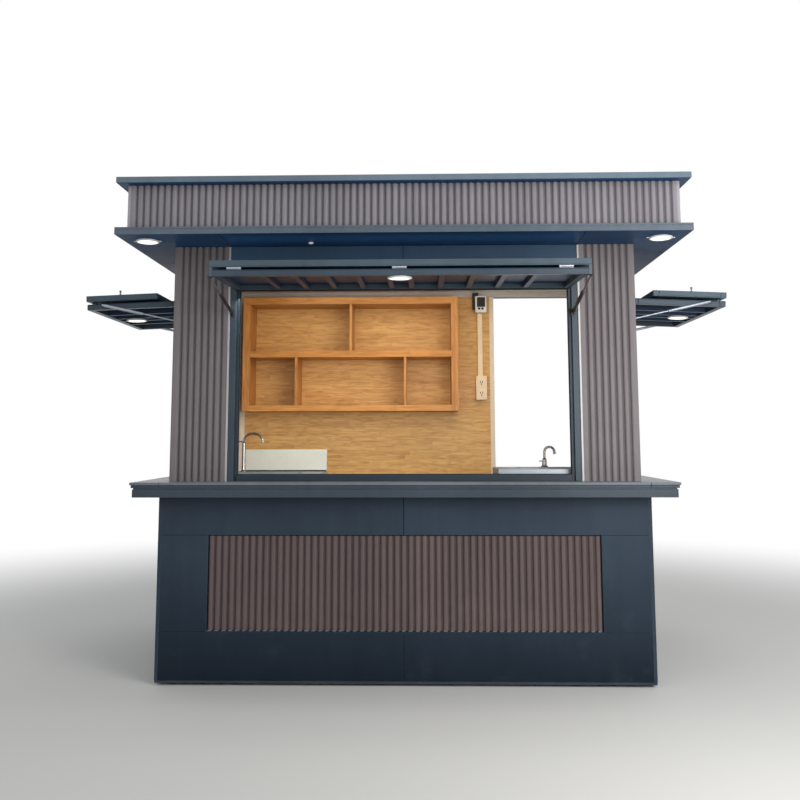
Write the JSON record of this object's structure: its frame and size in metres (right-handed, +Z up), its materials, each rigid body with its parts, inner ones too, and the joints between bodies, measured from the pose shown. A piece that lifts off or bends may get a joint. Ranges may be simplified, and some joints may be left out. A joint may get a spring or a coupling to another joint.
{
  "type": "street kiosk",
  "caption": "Small street kiosk with dark panels, fluted cladding, a counter on three sides, serving windows under folded flaps and a flat overhanging roof.",
  "frame": {"origin": "on the ground at the middle of the base, on the underside of the skid frame", "axes": "+Z up, +Y from the front counter to the back wall, +X to the right seen from the front"},
  "size_m": [3.3398, 2.2369, 2.462],
  "materials": {
    "panel": "satin dark slate coating",
    "counter": "satin slate coating with a lighter edge",
    "fluted": "matt moulded boards with upright flutes",
    "trim": "satin",
    "oak": "satin laminate with an oak grain",
    "cream": "matt",
    "white_board": "semi-gloss",
    "steel": "brushed",
    "tap": "polished",
    "strut": "semi-gloss black",
    "hinge": "brushed",
    "floor": "ribbed sheet, satin",
    "skid": "matt primer",
    "deck": "matt coated sheet",
    "lamp": "opal"
  },
  "bodies": {
    "root": {"skid_frame": "skid", "floor": "floor", "front_base_wall": "panel", "left_base_wall": "panel", "right_base_wall": "panel", "back_base_wall": "panel", "base_fluted_panels": "fluted", "front_counter": "counter", "side_counters": "counter", "counter_apron": "counter", "front_left_panel": "fluted", "front_right_panel": "fluted", "front_header": "panel", "corner_trims": "trim", "left_wall": "panel", "right_wall": "panel", "back_wall": "panel", "back_wall_post": "panel", "door_header": "panel", "back_lining": "oak", "lining_edge_trims": "cream", "ceiling_band": "cream", "front_window_frame": "panel", "left_window_frame": "panel", "right_window_frame": "panel", "front_flap_inner_leaf": "panel", "front_flap_outer_leaf": "panel", "left_flap_inner_leaf": "panel", "left_flap_outer_leaf": "panel", "right_flap_inner_leaf": "panel", "right_flap_outer_leaf": "panel", "flap_hinges": "hinge", "gas_struts": "strut", "round_lamps": "lamp", "soffit_board": "panel", "roof_fascia": "fluted", "roof_rim": "panel", "roof_deck": "deck", "shelf_unit": "oak", "breaker_box": "white_board", "socket_and_duct": "cream", "left_worktop": "steel", "right_worktop": "steel", "splash_board": "white_board", "taps": "tap"}
  },
  "joints": []
}
